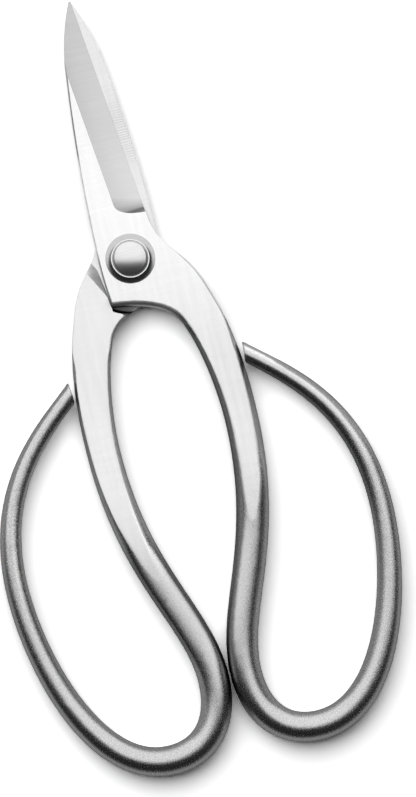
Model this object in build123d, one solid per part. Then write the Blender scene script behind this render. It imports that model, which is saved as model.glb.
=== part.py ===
from build123d import *
import math
import os

# Floral snips: two identical forged arms, each a blade, a pivot plate and a
# round bar bent back into an open finger loop, joined by one domed rivet that
# is headed over a raised washer on each side.  Millimetres.  X is across the
# snips, Y runs from the pivot to the tips and Z is up.  The origin is on the
# pivot axis, on the flat end of the rivet's tail, which is the lowest point.
# The snips are drawn closed.  An arm is drawn once, as the upper one, with
# the plane where the two plates meet at Z = 0, and is then placed twice.

# ---- blade and pivot plate ------------------------------------------------
plate_thickness = 3.2
blade_length = 68.2            # pivot axis to tip
tip_width = 0.5                # blunt end, centred on the snips' centre line
spine_offset = 8.2             # pivot axis to the spine edge
spine_radius = 420.0           # long curve of the spine
belly_start = 51.0             # along the blade, where the spine turns in
spine_chamfer = 0.4
heel_reach = 11.3              # pivot axis to the corner behind the pivot
heel_taper = 0.8               # the heel corner stands in from the spine
edge_offset = 6.6              # pivot axis to the cutting edge at the neck
neck_reach = 10.6              # pivot axis to the start of the cutting edge
neck_x = 9.0                   # a point half way round the hollow of the neck
neck_y = 2.9
shoulder_x = 14.5              # a point on the crown of the shoulder
shoulder_y = -4.4
crotch_x = 1.6                 # a point on the hollow edge behind the pivot
crotch_y = -13.2
crotch_rounding = 1.5          # of that edge, on the outer side of the plate
heel_rounding = 0.7            # of that edge, on the mating side
shoulder_share = 0.30          # along the tang's bend, where the outline
crotch_share = 0.30            # meets the tang's sides
blend_share = 0.62             # along the tang's bend, where it ends
blend_inset = 1.1              # how far inside the tang it ends

# ---- hollow-ground bevel --------------------------------------------------
bevel_width = 7.2
bevel_wheel_radius = 60.0
bevel_wheel_corner = 4.5       # rounds the plunge at the neck
edge_land = 0.1                # steel left at the cutting edge

# ---- lap joint ------------------------------------------------------------
mating_gap = 0.08              # between the two plates
lap_clearance = 0.2            # beside the other arm's plate
opening_stop = 28.0            # degrees, a spine then meets the other's ramp
ramp_angle = 45.0              # degrees, from the lap's floor up to the tang
heel_wall_angle = 75.0         # degrees, the same where the heel swings in
tang_height = 2.6              # raised tang past the mating plane

# ---- round bar of the tang and loop ---------------------------------------
root_x = 9.0                   # the bar starts inside the pivot plate
root_y = -8.6
root_heading = -46.0           # degrees from the X axis
tang_offset = 18.35            # furthest the tang stands from the centre line
tang_turn = -46.0              # along the snips, where that is
touch_y = -110.4               # where the two loops nearly touch
loop_gap = 0.3                 # between the loops at that place
bottom_x = 19.5
bottom_y = -128.3
loop_offset = 48.25            # furthest the loop stands from the centre line
loop_turn = -76.5              # along the snips, where that is
bar_end_share = 0.68           # along the tang's bend, beside the free end
bar_end_heading = 140.0        # degrees from the X axis
bar_end_gap = 0.35             # between the free end and its own tang
bar_end_slant = 5.0            # degrees, the end face leans off the tang
bar_end_straight = 1.0         # straight stretch before the end face
bar_end_chamfer = 0.25

root_radius = 5.6
tang_radius = 4.35
touch_radius = 4.1
bottom_radius = 3.9
loop_radius = 2.97
bar_end_radius = 2.28
flare = 1.25                   # how quickly the root narrows into the tang
section_spacing = 6.0          # between the loft's sections

# how far each bend reaches straight on, after and before its end points
root_pull = 10.0
tang_pull_in = 13.0
tang_pull_out = 34.0
touch_pull_in = 17.0
touch_pull_out = 11.0
bottom_pull_in = 9.5
bottom_pull_out = 20.0
loop_pull_in = 19.0
loop_pull_out = 25.0
bar_end_pull = 13.0

# ---- ground flats on the tang ---------------------------------------------
outer_flat_end = -42.0         # where the outer flat starts to run out
outer_flat_radius = 440.0
inner_flat_end = -27.0
inner_flat_radius = 950.0

# ---- rivet and washers ----------------------------------------------------
shank_radius = 3.0
pivot_clearance = 0.05         # radial, shank in the arms and washers
stack_clearance = 0.05         # upper washer above the upper arm
washer_radius = 6.4
washer_edge = 0.35             # height of the washer's outer wall
washer_height = 1.25
crest_radius = 4.95            # outer edge of the washer's raised ring
crest_width = 0.3
washer_hollow = 2.4            # radius of the hollow from the ring to the wall
seat_drop = 0.3                # a head seats this far below the ring
head_clearance = 0.05          # radial, a head inside the washer's ring
dome_height = 1.75
dome_edge = 0.75               # height of the dome's wall before its shoulder is rounded
dome_shoulder = 0.9
tail_flat_radius = 2.4
tail_height = 0.75
tail_edge = 0.15               # height of the tail's wall

# ---- worked out from the above --------------------------------------------
head_radius = crest_radius - crest_width - head_clearance
lower_washer_z = tail_height - seat_drop + washer_height
mating_z = lower_washer_z + plate_thickness
upper_washer_z = mating_z + plate_thickness + stack_clearance
head_seat_z = upper_washer_z + washer_height - seat_drop
floor_z = mating_gap / 2       # of an arm's plate, above the mating plane
touch_x = touch_radius + loop_gap / 2
cutter_reach = 200.0           # longer than any cut
cutter_depth = 12.0            # deeper than any cut
upright = (Align.CENTER, Align.CENTER, Align.MIN)


def heading(degrees):
    """Unit vector at an angle from the X axis."""
    return Vector(math.cos(math.radians(degrees)), math.sin(math.radians(degrees)))


def bend(start, start_heading, start_pull, end_pull, end, end_heading):
    """One smooth bend of the bar between two points with known headings."""
    first = start + heading(start_heading) * start_pull
    second = end - heading(end_heading) * end_pull
    return Bezier(start, first, second, end)


def taper(start_radius, end_radius, power, share):
    """Radius of the bar at a share of the way along one bend."""
    return end_radius + (start_radius - end_radius) * (1 - share) ** power


def tang_bend():
    """The first bend, from the pivot plate down to the straight of the tang."""
    root = Vector(root_x, root_y)
    tang = Vector(tang_offset, tang_turn)
    return bend(root, root_heading, root_pull, tang_pull_in, tang, -90)


def tang_side(share, side, inset):
    """A point inside the tang's side: side 1 is outward and -1 is inward."""
    line = tang_bend()
    along = line.tangent_at(share)
    outward = Vector(-along.Y, along.X)
    radius = taper(root_radius, tang_radius, flare, share)
    return line.position_at(share) + outward * side * (radius - inset)


def bar_bends():
    """The bar's centre line, bend by bend, from the pivot to the free end,
    each with the radii at its start and end and the power of its taper."""
    tang = Vector(tang_offset, tang_turn)
    touch = Vector(touch_x, touch_y)
    bottom = Vector(bottom_x, bottom_y)
    loop = Vector(loop_offset, loop_turn)
    end_corner = tang_side(bar_end_share, 1, -bar_end_gap)
    end = end_corner + heading(bar_end_heading - 90) * bar_end_radius
    end -= heading(bar_end_heading) * bar_end_straight
    return [
        (tang_bend(), root_radius, tang_radius, flare),
        (bend(tang, -90, tang_pull_out, touch_pull_in, touch, -90),
         tang_radius, touch_radius, 1),
        (bend(touch, -90, touch_pull_out, bottom_pull_in, bottom, 0),
         touch_radius, bottom_radius, 1),
        (bend(bottom, 0, bottom_pull_out, loop_pull_in, loop, 90),
         bottom_radius, loop_radius, 1),
        (bend(loop, 90, loop_pull_out, bar_end_pull, end, bar_end_heading),
         loop_radius, bar_end_radius, 1),
    ]


def bar_section(line, share, radius):
    """A round section square to the bar's centre line."""
    section_plane = Plane(
        origin=line.position_at(share), x_dir=(0, 0, 1), z_dir=line.tangent_at(share)
    )
    return section_plane * Circle(radius)


def bar_end(line):
    """The last stretch of the bar, cut off beside its own tang."""
    stub = Plane(origin=line @ 1, z_dir=line % 1) * Cylinder(
        bar_end_radius, bar_end_straight + 3 * bar_end_radius, align=upright
    )
    face_plane = Plane(
        origin=tang_side(bar_end_share, 1, -bar_end_gap),
        x_dir=(0, 0, 1),
        z_dir=-heading(-bar_end_slant),
    )
    stub -= face_plane * Box(cutter_reach, cutter_reach, cutter_reach, align=upright)
    end_face = stub.faces().sort_by_distance(face_plane.origin)[0]
    return chamfer(end_face.edges(), bar_end_chamfer)


def round_bar():
    """The tapered round bar, from inside the pivot plate to its free end."""
    bends = bar_bends()
    sections = []
    for line, start_radius, end_radius, power in bends:
        count = round(line.length / section_spacing)
        for index in range(count):
            share = index / count
            radius = taper(start_radius, end_radius, power, share)
            sections.append(bar_section(line, share, radius))
    last_bend = bends[-1][0]
    sections.append(bar_section(last_bend, 1, bar_end_radius))
    return loft(sections) + bar_end(last_bend)


def flat_cutter(level, end, radius):
    """Everything above a flat that runs level to its end and then rises away
    on a large radius, as a wide grinding wheel leaves it."""
    run = math.sqrt(2 * radius * cutter_depth)
    wheel = RadiusArc((end - run, level + cutter_depth), (end, level), -radius)
    top = level + 2 * cutter_depth
    outline = wheel + Polyline(
        (end, level),
        (cutter_reach, level),
        (cutter_reach, top),
        (end - run, top),
        (end - run, level + cutter_depth),
    )
    return extrude(Plane.YZ * make_face(outline), amount=cutter_reach, both=True)


def ground_bar():
    """The round bar with a flat ground on each side of its tang."""
    bar = round_bar()
    bar -= flat_cutter(plate_thickness, outer_flat_end, outer_flat_radius)
    inner = flat_cutter(tang_height, inner_flat_end, inner_flat_radius)
    return bar - mirror(inner, about=Plane.XY)


def tip_corner(side):
    """A corner of the blunt tip: side 1 at the cutting edge, -1 at the spine."""
    return Vector(side * tip_width / 2, blade_length)


def edge_start():
    """Where the neck ends and the straight cutting edge starts."""
    return Vector(edge_offset, neck_reach)


def heel_corner():
    """The corner of the pivot plate behind the pivot."""
    return Vector(heel_taper - spine_offset, -heel_reach)


def heel_line():
    """The spine edge from the pivot's level back to the heel corner."""
    return TangentArc((-spine_offset, 0), heel_corner(), tangent=(0, -1))


def spine_lines():
    """The spine edge from the pivot's level to the tip: a long curve, then
    the belly of the blade, which turns in to the tip."""
    swing = math.degrees(math.asin(belly_start / spine_radius))
    back = CenterArc((spine_radius - spine_offset, 0), spine_radius, 180, -swing)
    belly = TangentArc(back @ 1, tip_corner(-1), tangent=back % 1)
    return back, belly


def crotch_line():
    """The hollow edge behind the pivot, from the heel corner to the tang."""
    return Spline(
        heel_corner(),
        (crotch_x, crotch_y),
        tang_side(crotch_share, -1, 0),
        tangents=((1, -0.12), tang_bend().tangent_at(crotch_share)),
    )


def shoulder_line():
    """From the tang over the shoulder and round the hollow neck to the start
    of the cutting edge."""
    return Spline(
        tang_side(shoulder_share, 1, 0),
        (shoulder_x, shoulder_y),
        (neck_x, neck_y),
        edge_start(),
        tangents=(-tang_bend().tangent_at(shoulder_share), (-0.12, 1)),
    )


def blend_line(share, side):
    """The plate's outline running smoothly on into one side of the tang."""
    line = tang_bend()
    return Spline(
        tang_side(share, side, 0),
        tang_side(blend_share, side, blend_inset),
        tangents=(line.tangent_at(share), line.tangent_at(blend_share)),
    )


def plate_outline():
    """Plan outline of the blade, neck and pivot plate of one arm."""
    back, belly = spine_lines()
    outer_blend = blend_line(shoulder_share, 1)
    inner_blend = blend_line(crotch_share, -1)
    return make_face([
        back,
        belly,
        Line(tip_corner(-1), tip_corner(1)),
        Line(tip_corner(1), edge_start()),
        shoulder_line(),
        outer_blend,
        Line(outer_blend @ 1, inner_blend @ 1),
        inner_blend,
        crotch_line(),
        heel_line(),
    ])


def edge_near(solid, point, level):
    """The edge of a solid nearest to a plan point at a level."""
    return solid.edges().sort_by_distance(Vector(point.X, point.Y, level))[0]


def blank_plate():
    """The blade, pivot plate and root of the tang before the lap is cut, with
    the spine chamfered and the edge behind the pivot rounded."""
    outline = Plane.XY.offset(floor_z) * plate_outline()
    plate = extrude(outline, amount=plate_thickness - floor_z)
    root = extrude(outline, amount=-tang_height - floor_z)
    spine_edges = [edge_near(plate, line @ 0.5, plate_thickness) for line in spine_lines()]
    plate = chamfer(spine_edges, spine_chamfer)
    crotch_middle = crotch_line() @ 0.5
    plate = fillet(edge_near(plate, crotch_middle, plate_thickness), crotch_rounding)
    root = fillet(edge_near(root, crotch_middle, -tang_height), heel_rounding)
    return plate + root


def lap_pocket():
    """Room for the other arm's plate with the snips closed: that plate is
    this one mirrored across the snips' centre line."""
    other_outline = offset(mirror(plate_outline(), about=Plane.YZ), lap_clearance)
    return extrude(Plane.XY.offset(floor_z) * other_outline, amount=-cutter_depth)


def lap_ramp():
    """Room for the other arm's spine to swing out to the opening stop, with
    a ramp up to the tang that starts where the spine then stands."""
    toe = spine_offset + lap_clearance
    run = cutter_depth / math.tan(math.radians(ramp_angle))
    profile = Polyline(
        (toe, floor_z),
        (toe + run, floor_z - cutter_depth),
        (-cutter_reach, floor_z - cutter_depth),
        (-cutter_reach, floor_z),
        close=True,
    )
    ramp = extrude(Plane.XZ * make_face(profile), amount=cutter_reach, both=True)
    return Rot(Z=-opening_stop) * ramp


def heel_sweep():
    """Room for the other arm's heel corner to swing in, with a steep wall,
    kept clear of the tang beside that arm's heel."""
    corner = heel_corner()
    radius = corner.length + lap_clearance
    run = cutter_depth / math.tan(math.radians(heel_wall_angle))
    sweep = Plane.XY.offset(floor_z - cutter_depth) * Cone(
        radius + run, radius, cutter_depth, align=upright
    )
    along = heel_line() % 1
    wall_plane = Plane(
        origin=(lap_clearance - corner.X, corner.Y),
        x_dir=(0, 0, 1),
        z_dir=(-along.Y, -along.X),
    )
    wall = wall_plane * Box(cutter_reach, cutter_reach, cutter_reach, align=upright)
    return sweep - wall


def bevel_wheel():
    """The grinding wheel that hollows the bevel, its axle along the cutting
    edge.  It meets the plate's outer side along the ridge and leaves a thin
    land at the edge, and its rounded corner leaves the plunge at the neck."""
    along = (tip_corner(1) - edge_start()).normalized()
    across = Vector(-along.Y, along.X)
    land_z = floor_z + edge_land
    rise = plate_thickness - land_z
    chord = math.hypot(bevel_width, rise)
    stand_off = math.sqrt(bevel_wheel_radius**2 - (chord / 2) ** 2)
    axle_across = bevel_width / 2 - stand_off * rise / chord
    axle_z = land_z + rise / 2 + stand_off * bevel_width / chord
    wheel = Cylinder(bevel_wheel_radius, 2 * blade_length, align=upright)
    rim = wheel.edges().filter_by(GeomType.CIRCLE).sort_by(Axis.Z)[0]
    wheel = fillet(rim, bevel_wheel_corner)
    axle = edge_start() + across * axle_across + Vector(0, 0, axle_z)
    return Plane(origin=axle, x_dir=(0, 0, 1), z_dir=along) * wheel


def snips_arm():
    """One forged arm, drawn as the upper one about the mating plane."""
    arm = ground_bar() + blank_plate()
    for cutter in (lap_pocket(), lap_ramp(), heel_sweep(), bevel_wheel()):
        arm -= cutter
    return arm - Cylinder(shank_radius + pivot_clearance, 2 * cutter_depth)


def turned(*lines):
    """A solid of revolution about the pivot axis from a closed half profile."""
    return revolve(Plane.XZ * make_face(lines), Axis.Z)


def raised_washer():
    """A washer with a raised ring round the seat of a rivet head and a hollow
    slope down to its thin edge.  It stands on Z = 0."""
    bore = shank_radius + pivot_clearance
    seat_z = washer_height - seat_drop
    ring_inside = crest_radius - crest_width
    flat = Polyline(
        (washer_radius, washer_edge),
        (washer_radius, 0),
        (bore, 0),
        (bore, seat_z),
        (ring_inside, seat_z),
        (ring_inside, washer_height),
        (crest_radius, washer_height),
    )
    hollow = RadiusArc(
        (crest_radius, washer_height), (washer_radius, washer_edge), -washer_hollow
    )
    return turned(*flat.edges(), hollow)


def domed_rivet():
    """The rivet: a flat-crowned dome with a round shoulder, a shank, and a low
    tail with a flat end.  It stands on Z = 0, on its tail."""
    crown_z = head_seat_z + dome_edge
    dome_top = head_seat_z + dome_height
    crown = TangentArc((0, dome_top), (head_radius, crown_z), tangent=(1, 0))
    sides = Polyline(
        (head_radius, crown_z),
        (head_radius, head_seat_z),
        (shank_radius, head_seat_z),
        (shank_radius, tail_height),
        (head_radius, tail_height),
        (head_radius, tail_height - tail_edge),
    )
    tail = TangentArc(
        (tail_flat_radius, 0), (head_radius, tail_height - tail_edge), tangent=(1, 0)
    )
    axis = Polyline((tail_flat_radius, 0), (0, 0), (0, dome_top))
    rivet = turned(crown, *sides.edges(), tail, *axis.edges())
    return fillet(edge_near(rivet, Vector(-head_radius, 0), crown_z), dome_shoulder)


arm = snips_arm()
washer = raised_washer()
pieces = {
    "upper_arm": Pos(Z=mating_z) * arm,
    "lower_arm": Pos(Z=mating_z) * Rot(Y=180) * arm,
    "pivot_rivet": domed_rivet(),
    "upper_washer": Pos(Z=upper_washer_z) * washer,
    "lower_washer": Pos(Z=lower_washer_z) * Rot(X=180) * washer,
}

os.makedirs("parts", exist_ok=True)
for name, piece in pieces.items():
    export_step(piece, f"parts/{name}.step")
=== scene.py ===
import math

import bpy
from mathutils import Matrix, Vector

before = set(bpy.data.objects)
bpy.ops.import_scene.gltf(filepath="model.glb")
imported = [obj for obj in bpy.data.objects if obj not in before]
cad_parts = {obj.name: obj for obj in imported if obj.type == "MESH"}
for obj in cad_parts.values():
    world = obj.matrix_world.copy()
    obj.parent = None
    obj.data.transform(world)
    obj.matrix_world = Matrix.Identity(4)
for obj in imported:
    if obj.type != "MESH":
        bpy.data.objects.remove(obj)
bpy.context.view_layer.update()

MM = 0.001


def mm(*values):
    """Millimetres as metres."""
    return tuple(value * MM for value in values)


TURN = math.radians(13.4)          # the snips lie turned this much clockwise
AIM = Vector((0.0111, -0.0397, 0.005))   # the point in the picture's middle
FRAME_HEIGHT = 0.2056              # what the picture spans there, top to foot
CAMERA_HEIGHT = 1.6
SENSOR = 36.0

# The picture's own directions, lying on the table.
RIGHT = Vector((math.cos(TURN), -math.sin(TURN), 0))
UP_PAGE = Vector((math.sin(TURN), math.cos(TURN), 0))
ZENITH = Vector((0, 0, 1))


def look_along(direction, up):
    """Rotation whose -Z looks along a direction, with +Y towards up."""
    z = -direction.normalized()
    x = up.cross(z).normalized()
    y = z.cross(x)
    return Matrix((x, y, z)).transposed().to_4x4()


# ---------------------------------------------------------------- camera
camera_data = bpy.data.cameras.new("camera")
camera_data.sensor_fit = "VERTICAL"
camera_data.sensor_height = SENSOR
camera_data.sensor_width = SENSOR
camera_data.lens = SENSOR * CAMERA_HEIGHT / FRAME_HEIGHT
camera_data.clip_start = 0.05
camera_data.clip_end = 20.0
camera = bpy.data.objects.new("camera", camera_data)
bpy.context.scene.collection.objects.link(camera)
overhead = Matrix.Translation(AIM + ZENITH * CAMERA_HEIGHT)
camera.matrix_world = overhead @ look_along(-ZENITH, UP_PAGE)
bpy.context.scene.camera = camera


# ---------------------------------------------------------------- lamps
LAMP_DISTANCE = 1.5


def soft_box(name, near, far, half_spread, side, radiance):
    """A rectangular soft box facing the snips.  It reaches from near to far,
    angles from the zenith towards the top of the page, spreads half_spread
    to each side and is swung by side to the right.  radiance is what a
    mirror would show."""
    t, s = math.radians((near + far) / 2), math.radians(side)
    length = 2 * LAMP_DISTANCE * math.tan(math.radians((far - near) / 2))
    width = 2 * LAMP_DISTANCE * math.tan(math.radians(half_spread))
    middle = ZENITH * math.cos(t) + UP_PAGE * math.sin(t)
    towards = middle * math.cos(s) + RIGHT * math.sin(s)
    down = -ZENITH * math.sin(t) + UP_PAGE * math.cos(t)
    data = bpy.data.lights.new(name, "AREA")
    data.shape = "RECTANGLE"
    data.size = width
    data.size_y = length
    data.energy = radiance * math.pi * width * length
    data.use_shadow = True
    lamp = bpy.data.objects.new(name, data)
    bpy.context.scene.collection.objects.link(lamp)
    place = Matrix.Translation(towards * LAMP_DISTANCE)
    lamp.matrix_world = place @ look_along(-towards, down)
    lamp.visible_camera = False
    return lamp


# The metal mirrors a wide box that hangs from overhead down to the top of
# the page.  The table is lit by a smaller box, which the metal doesn't see.
key_box = soft_box("key_box", near=-8, far=86, half_spread=54, side=-2,
                   radiance=1.15)
key_box.visible_diffuse = False
shade_box = soft_box("shade_box", near=-2, far=56, half_spread=36, side=-12,
                     radiance=2.95)
shade_box.visible_glossy = False


# ---------------------------------------------------------------- node helper
BUMP_DEPTH = 0.02 * MM


class Nodes:
    """Short hand for adding nodes to one tree."""

    def __init__(self, tree):
        self.tree = tree

    def add(self, kind, inputs=None, **settings):
        node = self.tree.nodes.new(kind)
        for key, value in settings.items():
            setattr(node, key, value)
        for key, value in (inputs or {}).items():
            self.put(node.inputs[key], value)
        return node

    def put(self, socket, value):
        if isinstance(value, bpy.types.NodeSocket):
            self.tree.links.new(value, socket)
        else:
            socket.default_value = value

    def math(self, operation, a, b=0.0, clamp=False):
        node = self.add("ShaderNodeMath", {0: a, 1: b},
                        operation=operation, use_clamp=clamp)
        return node.outputs[0]

    def plus(self, first, *others):
        for other in others:
            first = self.math("ADD", first, other)
        return first

    def times(self, first, *others):
        for other in others:
            first = self.math("MULTIPLY", first, other)
        return first

    def minus(self, a, b):
        return self.math("SUBTRACT", a, b)

    def most(self, a, b):
        return self.math("MAXIMUM", a, b)

    def size(self, a):
        return self.math("ABSOLUTE", a)

    def step(self, value, stretch):
        """0 below a stretch of values, 1 above it, smooth between."""
        node = self.add("ShaderNodeMapRange", {
            "Value": value, "From Min": stretch[0], "From Max": stretch[1],
        }, interpolation_type="SMOOTHSTEP")
        return node.outputs["Result"]

    def fall(self, value, stretch):
        """1 below a stretch of values, 0 above it, smooth between."""
        return self.minus(1.0, self.step(value, stretch))

    def between(self, value, rise, fall):
        """1 from the stretch where it rises to the one where it falls."""
        return self.times(self.step(value, rise), self.fall(value, fall))

    def spread(self, value, stretch, low, high):
        """Runs straight from low to high over a stretch of values."""
        node = self.add("ShaderNodeMapRange", {
            "Value": value, "From Min": stretch[0], "From Max": stretch[1],
            "To Min": low, "To Max": high,
        })
        return node.outputs["Result"]

    def vary(self, noise, low, high):
        """A noise's usual values, spread from low to high."""
        return self.spread(noise, (0.3, 0.7), low, high)

    def mix(self, share, a, b):
        node = self.add("ShaderNodeMix", {"Factor": share, "A": a, "B": b},
                        data_type="FLOAT")
        return node.outputs["Result"]

    def mix_vectors(self, share, a, b):
        """By number, because each name stands for one socket of each kind."""
        node = self.add("ShaderNodeMix", {0: share, 4: a, 5: b},
                        data_type="VECTOR")
        return node.outputs[1]

    def noise(self, vector, scale, detail=2.0, roughness=0.5):
        node = self.add("ShaderNodeTexNoise", {
            "Vector": vector, "Scale": scale, "Detail": detail,
            "Roughness": roughness,
        }, noise_dimensions="3D")
        return node.outputs["Fac"]

    def streaks(self, vector, angle, along, across, detail=2.0, roughness=0.5):
        """Noise turned about Z by an angle, finer across than along."""
        turned = self.add("ShaderNodeMapping", {
            "Vector": vector, "Rotation": (0, 0, angle),
            "Scale": (along, across, 1.0),
        })
        return self.noise(turned.outputs["Vector"], 1.0, detail, roughness)

    def split(self, vector):
        """A vector's X, Y and Z."""
        node = self.add("ShaderNodeSeparateXYZ", {"Vector": vector})
        return node.outputs["X"], node.outputs["Y"], node.outputs["Z"]

    def turned_normal(self, normal, source, target):
        node = self.add("ShaderNodeVectorTransform", {"Vector": normal},
                        vector_type="NORMAL", convert_from=source,
                        convert_to=target)
        return node.outputs["Vector"]

    def flattened(self, normal, tilt):
        """A world normal whose lean from the Z axis is scaled by tilt."""
        own = self.turned_normal(normal, "WORLD", "OBJECT")
        scale = self.add("ShaderNodeCombineXYZ", {"X": tilt, "Y": tilt, "Z": 1.0})
        leant = self.add("ShaderNodeVectorMath",
                         {0: own, 1: scale.outputs["Vector"]},
                         operation="MULTIPLY")
        back = self.turned_normal(leant.outputs["Vector"], "OBJECT", "WORLD")
        unit = self.add("ShaderNodeVectorMath", {0: back}, operation="NORMALIZE")
        return unit.outputs["Vector"]

    def broken_edge(self, radius):
        """The surface's world normal with its edges rounded over a radius."""
        node = self.add("ShaderNodeBevel", {"Radius": radius}, samples=4)
        return node.outputs["Normal"]

    def bumped(self, normal, height, strength):
        node = self.add("ShaderNodeBump", {
            "Height": height, "Normal": normal, "Strength": strength,
            "Distance": BUMP_DEPTH,
        })
        return node.outputs["Normal"]

    def grey(self, value):
        node = self.add("ShaderNodeCombineColor",
                        {"Red": value, "Green": value, "Blue": value})
        return node.outputs["Color"]

    def finish(self, shader):
        self.add("ShaderNodeOutputMaterial", {"Surface": shader})


def new_material(name):
    material = bpy.data.materials.new(name)
    material.use_nodes = True
    material.node_tree.nodes.clear()
    return material, Nodes(material.node_tree)


# ---------------------------------------------------------------- world
TENT_LEFT = 0.36          # how bright each part of the room is in the metal
TENT_RIGHT = 0.04
TABLE_IN_MIRRORS = 0.28
ROOM = 0.02

TENT_WALL = (0.60, 0.98)  # how far a direction leans to a side at the wall,
TENT_FOOT = (-0.35, 0.10)       # up the page where the walls begin
HORIZON = (0.0, 0.20)           # and to the zenith where the table ends


def tent_world():
    """White for the camera.  Mirrors see a grey table and horizon, dim tent
    walls to the left and right and near-darkness over the foot of the page."""
    world = bpy.data.worlds.new("studio")
    bpy.context.scene.world = world
    world.use_nodes = True
    n = Nodes(world.node_tree)
    seen_by = n.add("ShaderNodeLightPath").outputs
    direction = n.add("ShaderNodeTexCoord").outputs["Generated"]

    def leaning(axis):
        node = n.add("ShaderNodeVectorMath", {0: direction, 1: axis},
                     operation="DOT_PRODUCT")
        return node.outputs["Value"]

    left = n.times(n.step(leaning(-RIGHT), TENT_WALL), TENT_LEFT)
    right = n.times(n.step(leaning(RIGHT), TENT_WALL), TENT_RIGHT)
    tent = n.times(n.plus(left, right), n.step(leaning(UP_PAGE), TENT_FOOT))
    horizon = n.times(n.fall(leaning(ZENITH), HORIZON), TABLE_IN_MIRRORS)
    dim = n.most(n.most(tent, horizon), ROOM)
    white = n.most(seen_by["Is Camera Ray"], seen_by["Is Transmission Ray"])
    mirrored = n.times(seen_by["Is Glossy Ray"], dim)
    background = world.node_tree.nodes["Background"]
    n.put(background.inputs["Color"], (1, 1, 1, 1))
    n.put(background.inputs["Strength"],
          n.math("ADD", white, mirrored, clamp=True))


tent_world()


# ---------------------------------------------------------------- arms
# Places on an arm.  Each pair is the stretch over which something begins or
# ends, along y from the loops (negative) to the tips, unless it says across.
TANG_ACROSS = mm(21.0, 22.5)            # the loops' outer runs lie beyond
FLAT_BEGINS = {1: mm(-82, -48), -1: mm(-88, -56)}   # each arm's own
BLADE_BEGINS = mm(-4, 4)
BEVEL_BEGINS = mm(4, 8)
PLUNGE = mm(7, 9), mm(17, 19)
PLATE_BEGINS = mm(-22, -14)
TANG_BAR = mm(-112, -98), mm(-80, -68)
TANG_BAR_ACROSS = mm(19, 22)
SHOULDER = mm(-26, -20), mm(-4, 1)
SHOULDER_ACROSS = mm(8, 12)
LOWER_TANG = mm(-78, -60), mm(-30, -24)
RIPPLED = mm(20, 28), mm(36, 44)
LAP = mm(-24, -18), mm(-10.5, -8.5)
LAP_ACROSS = mm(16, 20)
TOUCH_ENDS = mm(-98, -90)
TOUCH_ACROSS = mm(6, 10)
INNER_WALL = mm(-85, -70), mm(-20, -14)
OUTER_WALL = mm(-68, -54), mm(0, 4)
SPINE_ENDS = mm(24, 34)
RUBBED = mm(-64, -52), mm(-38, -32)

# How level a normal is on each face: the size of its Z.
LEVEL = (0.985, 0.998)
BEVEL_LEVEL = (0.78, 0.84)

# Along and across the bevel's lower end, where it meets the plunge.
BEVEL_AXIS = (0.232, 0.973)
BEVEL_FOOT = mm(12.8, 15.8)


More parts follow.
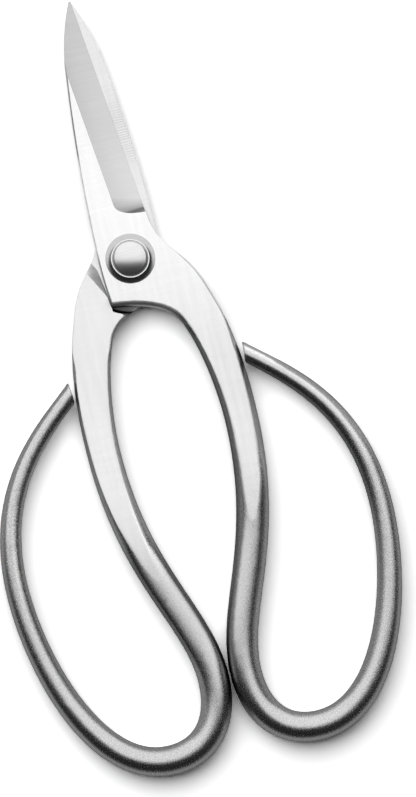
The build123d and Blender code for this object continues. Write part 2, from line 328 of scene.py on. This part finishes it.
class Arm:
    """One arm's steel while it is being put together: its nodes and where
    each finish lies.  side is 1 for the upper arm, whose blade's outer side
    faces up, and -1 for the lower arm."""

    def __init__(self, n, side):
        self.n, self.side = n, side
        place = n.add("ShaderNodeTexCoord").outputs
        self.at = place["Object"]
        self.x, self.y, _ = n.split(self.at)
        self.normal_x, self.normal_y, self.normal_z = n.split(place["Normal"])
        self.facing_in = n.times(self.normal_x, -side)

        level = n.step(n.size(self.normal_z), LEVEL)
        sloped = n.minus(1.0, level)
        on_tang = n.times(n.fall(n.size(self.x), TANG_ACROSS),
                          n.step(self.y, FLAT_BEGINS[side]))
        self.flat = n.times(level, on_tang)
        self.inner = n.step(n.times(self.normal_z, -side), (-0.1, 0.1))
        self.blade = n.step(self.y, BLADE_BEGINS)
        hollow = n.times(n.step(self.y, BEVEL_BEGINS), sloped,
                         n.step(n.size(self.normal_z), BEVEL_LEVEL))
        self.plunge = n.times(n.between(self.y, *PLUNGE), sloped,
                              n.step(self.normal_y, (0.02, 0.10)))
        self.bevel = n.most(hollow, self.plunge)
        self.ground = n.most(self.flat, self.bevel)
        self.plate_wall = n.times(n.step(self.y, PLATE_BEGINS),
                                  n.minus(1.0, self.ground))
        self.tang_bar = n.times(n.between(self.y, *TANG_BAR),
                                n.fall(n.size(self.x), TANG_BAR_ACROSS))

        self.edge = self.hand_broken_edge()
        own_edge = n.turned_normal(self.edge, "WORLD", "OBJECT")
        edge_x, _, edge_z = n.split(own_edge)
        self.edge_in = n.times(edge_x, -side)
        self.edge_level = n.size(edge_z)
        self.marks()

    def hand_broken_edge(self):
        """The edges are broken by hand: widest on the bars, sharp on the
        blade, wide at the upper arm's shoulder and fine on the outer edge of
        the lower arm's tang."""
        n, y = self.n, self.y
        radius = n.times(n.spread(y, mm(-60, -12), 1.4 * MM, 0.35 * MM),
                         n.spread(y, mm(-6, 4), 1.0, 0.15))
        if self.side > 0:
            shoulder = n.times(n.between(y, *SHOULDER),
                               n.step(self.x, SHOULDER_ACROSS))
            return n.broken_edge(n.mix(shoulder, radius, 1.0 * MM))
        wide, fine = n.broken_edge(radius), n.broken_edge(0.20 * MM)
        wide_x, _, _ = n.split(n.turned_normal(wide, "WORLD", "OBJECT"))
        outward = n.times(n.fall(wide_x, (-0.35, -0.15)),
                          n.between(y, *LOWER_TANG))
        return n.mix_vectors(outward, wide, fine)

    def marks(self):
        """Grinding marks across the arm, fine and long, the bar's fine grain
        and regular ripples across the blade's inner face."""
        n, at = self.n, self.at
        slant = -0.11 * self.side
        fine = n.streaks(at, slant, 70, 2600, 3.0, 0.6)
        self.streak = n.streaks(at, slant, 30, 420)
        self.fine_streak = n.streaks(at, slant, 45, 1300)
        self.lengthwise = n.streaks(at, slant - 0.2, 650, 40)
        self.cloud = n.noise(at, 60.0)
        self.grain = n.noise(at, 3000.0, roughness=0.7)
        self.brushed = n.plus(n.times(fine, 0.6), n.times(self.streak, 0.4))
        waves = n.plus(n.times(self.y, 9600.0), n.times(self.streak, 5.0))
        self.ripple = n.math("SINE", waves)
        self.rippled = n.times(n.between(self.y, *RIPPLED), self.inner,
                               self.flat)

    def tone(self):
        """How bright the steel is: the ground flats brightest, the brushed
        bevel greyer and the tumbled bars darkest, with painted shade and
        painted highlights on the plunge, the bevel's foot, the crevices and walls."""
        n, y = self.n, self.y
        outer_tone = n.minus(n.spread(y, mm(-24, 4), 0.80, 0.91),
                             n.spread(y, mm(4, 20), 0.0, 0.02))
        blade_tone = n.minus(n.spread(y, mm(16, 40), 0.78, 0.75),
                             n.times(self.rippled, 0.06))
        inner_tone = n.mix(self.blade, 0.82, blade_tone)
        brushing = n.vary(self.brushed, -0.05, 0.05)
        flat_tone = n.plus(n.mix(self.inner, outer_tone, inner_tone),
                           n.times(self.ripple, self.rippled, 0.045),
                           n.vary(self.lengthwise, -0.02, 0.02),
                           brushing)
        bar_tone = n.plus(n.vary(self.grain, 0.48, 0.67),
                          n.times(self.tang_bar, 0.07))
        wall_tone = n.plus(0.80, n.vary(self.streak, -0.15, 0.15))
        rough_tone = n.mix(self.plate_wall, bar_tone, wall_tone)
        tone = n.mix(self.flat, rough_tone, flat_tone)

        # Painted shade: the bevel's foot, where it curves up into the plunge and
        # faces the lamp more, is painted darker.
        along = n.plus(n.times(self.x, BEVEL_AXIS[0]), n.times(y, BEVEL_AXIS[1]))
        bevel_tone = n.times(n.spread(y, mm(20, 62), 0.65, 0.54),
                             n.spread(along, BEVEL_FOOT, 0.62, 1.0))
        bevel_tone = n.plus(bevel_tone, n.times(brushing, 0.35),
                            n.vary(self.fine_streak, -0.012, 0.012))
        tone = n.mix(self.bevel, tone, bevel_tone)
        tone = n.plus(tone, n.vary(self.cloud, -0.015, 0.015))
        # Painted shade: the plunge is painted darker where it faces up the page,
        # towards the lamp.
        plunge_painted_shade = n.spread(self.normal_y, (0.05, 0.75), 1.0, 0.78)
        return n.times(tone, n.mix(self.plunge, 1.0, plunge_painted_shade),
                       self.painted_crevice_shade(), self.painted_wall_shade_and_light())

    def painted_crevice_shade(self):
        """Painted shade: the lap's crevices, and where the loops touch, are painted
        darker by their ambient occlusion.
        """
        n, x, y = self.n, self.x, self.y
        lap = n.times(n.fall(n.size(x), LAP_ACROSS), n.between(y, *LAP))
        touch = n.times(n.fall(n.size(x), TOUCH_ACROSS), n.fall(y, TOUCH_ENDS),
                        n.step(self.facing_in, (0.2, 0.5)))
        around = n.add("ShaderNodeAmbientOcclusion", {"Distance": 4.5 * MM},
                       samples=4)
        openness = n.math("POWER", n.step(around.outputs["AO"], (0.35, 0.97)),
                          n.spread(y, mm(-17, -14), 1.0, 4.0))
        shade = n.spread(openness, (0.0, 1.0), 0.08, 1.0)
        return n.mix(n.most(lap, touch), 1.0, shade)

    def painted_wall_shade_and_light(self):
        """Painted shade and painted highlights on the forged walls between the
        flats: the upper arm's inner wall darker where it is steep, the lower arm's
        inner wall brighter, the upper arm's outer wall brighter towards the loops
        and darker near the shoulder; and painted shade down the tang bars' flanks."""
        n, y = self.n, self.y
        inner_wall = n.times(n.between(y, *INNER_WALL),
                             n.step(self.edge_in, (0.10, 0.35)))
        if self.side > 0:
            lean = self.facing_in
            inner = n.spread(self.edge_level, (0.35, 0.97), 0.30, 1.0)
            outer_wall = n.times(n.between(y, *OUTER_WALL),
                                 n.fall(self.edge_in, (-0.35, -0.10)))
            outer = n.mix(outer_wall, 1.0, n.spread(y, mm(-24, -18), 1.5, 0.5))
        else:
            lean = n.size(self.normal_x)
            inner = n.spread(self.edge_level, (0.35, 0.90), 1.1, 1.5)
            outer = 1.0
        flank = n.times(self.tang_bar, n.step(lean, (0.40, 0.90)), 0.55)
        return n.times(n.minus(1.0, flank), n.mix(inner_wall, 1.0, inner), outer)

    def roughness(self):
        n = self.n
        bar = n.plus(n.vary(self.grain, 0.23, 0.28), n.times(self.tang_bar, 0.02))
        forged = n.mix(self.plate_wall, bar, 0.42)
        return n.mix(self.ground, forged, n.vary(self.brushed, 0.22, 0.28))

    def normal(self):
        """Broken edges, with the lean of some faces changed by the polish:
        the tang bars have a flatter crown, the spine's chamfer is burnished
        and the upper tang's outer wall is rubbed over towards the table."""
        n, y = self.n, self.y
        if self.side > 0:
            crown = n.spread(self.normal_x, (-0.2, 0.2), 0.35, 0.0)
        else:
            crown = 0.72
        top_tilt = n.fall(n.size(self.normal_z), (0.35, 1.02))
        tilt = n.mix(n.times(self.tang_bar, crown), 1.0, top_tilt)
        spine = n.times(self.blade, self.plate_wall, n.fall(y, SPINE_ENDS))
        tilt = n.mix(spine, tilt, 0.2)
        if self.side > 0:
            rubbed = n.times(n.between(y, *RUBBED),
                             n.fall(self.edge_in, (-0.15, 0.0)))
            tilt = n.mix(rubbed, tilt, 1.8)
        height = n.mix(self.ground, self.grain, self.brushed)
        strength = n.mix(self.ground, 0.05, 0.12)
        return n.bumped(n.flattened(self.edge, tilt), height, strength)


def arm_steel(name, side):
    """Forged stainless steel: ground flats, a brushed bevel and a tumbled,
    polished bar."""
    material, n = new_material(name)
    arm = Arm(n, side)
    shader = n.add("ShaderNodeBsdfPrincipled", {
        "Base Color": n.grey(arm.tone()),
        "Roughness": arm.roughness(),
        "Normal": arm.normal(),
        "Metallic": 1.0,
        "Specular Tint": (0.5, 0.5, 0.5, 1.0),
    })
    n.finish(shader.outputs["BSDF"])
    return material


# ---------------------------------------------------------------- rivet, washers
# A ring painted brighter as a painted highlight on the raised seat's crest.
HIGHLIGHT_RING = mm(4.60, 4.70), mm(4.92, 5.02)    # by distance from the axis


def turned_steel(name, tones, roughnesses, highlight_ring_tone, tilt):
    """Turned and polished steel: fine rings about the pivot axis, a few
    scratches, and a painted highlight on the ring where the rivet's seat is
    raised.  tilt below 1 is a polish that runs over the slopes and flattens them."""
    material, n = new_material(name)
    at = n.add("ShaderNodeTexCoord").outputs["Object"]
    x, y, _ = n.split(at)
    radius = n.math("SQRT", n.plus(n.math("POWER", x, 2.0), n.math("POWER", y, 2.0)))
    outwards = n.add("ShaderNodeCombineXYZ", {"X": n.times(radius, 2400.0)})
    rings = n.noise(outwards.outputs["Vector"], 1.0)
    grain = n.noise(at, 2600.0)
    scratches = n.streaks(at, 1.2, 90, 2200)
    on_highlight_ring = n.between(radius, *HIGHLIGHT_RING)
    wear = n.plus(n.times(grain, 0.5), n.times(scratches, 0.5))
    tone = n.mix(on_highlight_ring, n.mix(wear, *tones), highlight_ring_tone)
    edge = n.flattened(n.broken_edge(0.12 * MM), n.mix(on_highlight_ring, tilt, 1.0))
    shader = n.add("ShaderNodeBsdfPrincipled", {
        "Base Color": n.grey(tone),
        "Roughness": n.vary(rings, *roughnesses),
        "Normal": n.bumped(edge, rings, 0.06),
        "Metallic": 1.0,
    })
    n.finish(shader.outputs["BSDF"])
    return material


def dress(node, material):
    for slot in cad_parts[node].material_slots:
        slot.material = material


dress("upper_arm", arm_steel("upper_arm_steel", 1))
dress("lower_arm", arm_steel("lower_arm_steel", -1))
rivet = turned_steel("rivet_steel", tones=(0.62, 0.90),
                     roughnesses=(0.27, 0.33), highlight_ring_tone=0.72, tilt=1.0)
washer = turned_steel("washer_steel", tones=(0.44, 0.62),
                      roughnesses=(0.22, 0.28), highlight_ring_tone=0.86, tilt=0.7)
dress("pivot_rivet", rivet)
dress("upper_washer", washer)
dress("lower_washer", washer)


# ---------------------------------------------------------------- floor
FLOOR_HALF = 0.6
FLOOR_Z = -0.1 * MM
FLOOR_FADES = (0.20, 0.50)     # by distance from the pivot
PAPER_TONES = (0.29, 0.31)
PAPER_TO_CAMERA = 1.25
PAPER_IN_MIRRORS = 0.13


def floor_material():
    """Grey paper that the camera sees as white.  It fades into the white
    beyond it and is seen from above only."""
    material, n = new_material("white_table")
    seen_by = n.add("ShaderNodeLightPath").outputs
    seen = n.most(seen_by["Is Camera Ray"], seen_by["Is Transmission Ray"])
    at = n.add("ShaderNodeTexCoord").outputs["Object"]
    paper = n.noise(at, 900.0)
    tone = n.plus(n.vary(paper, *PAPER_TONES), n.times(seen, PAPER_TO_CAMERA))
    paint = n.add("ShaderNodeBsdfDiffuse", {"Color": n.grey(tone)})
    glow = n.times(seen_by["Is Glossy Ray"], PAPER_IN_MIRRORS)
    mirrored = n.add("ShaderNodeEmission", {"Strength": glow})
    table = n.add("ShaderNodeAddShader",
                  {0: paint.outputs[0], 1: mirrored.outputs[0]})
    away = n.add("ShaderNodeVectorMath", {"Vector": at}, operation="LENGTH")
    behind = n.add("ShaderNodeNewGeometry").outputs["Backfacing"]
    gone = n.most(n.step(away.outputs["Value"], FLOOR_FADES), behind)
    clear = n.add("ShaderNodeBsdfTransparent")
    both = n.add("ShaderNodeMixShader",
                 {0: gone, 1: table.outputs[0], 2: clear.outputs[0]})
    n.finish(both.outputs[0])
    return material


floor_mesh = bpy.data.meshes.new("floor")
corners = [(x * FLOOR_HALF, y * FLOOR_HALF, FLOOR_Z)
           for x, y in ((-1, -1), (1, -1), (1, 1), (-1, 1))]
floor_mesh.from_pydata(corners, [], [(0, 1, 2, 3)])
floor_mesh.materials.append(floor_material())
floor = bpy.data.objects.new("floor", floor_mesh)
bpy.context.scene.collection.objects.link(floor)

bpy.context.scene.view_settings.view_transform = "Standard"
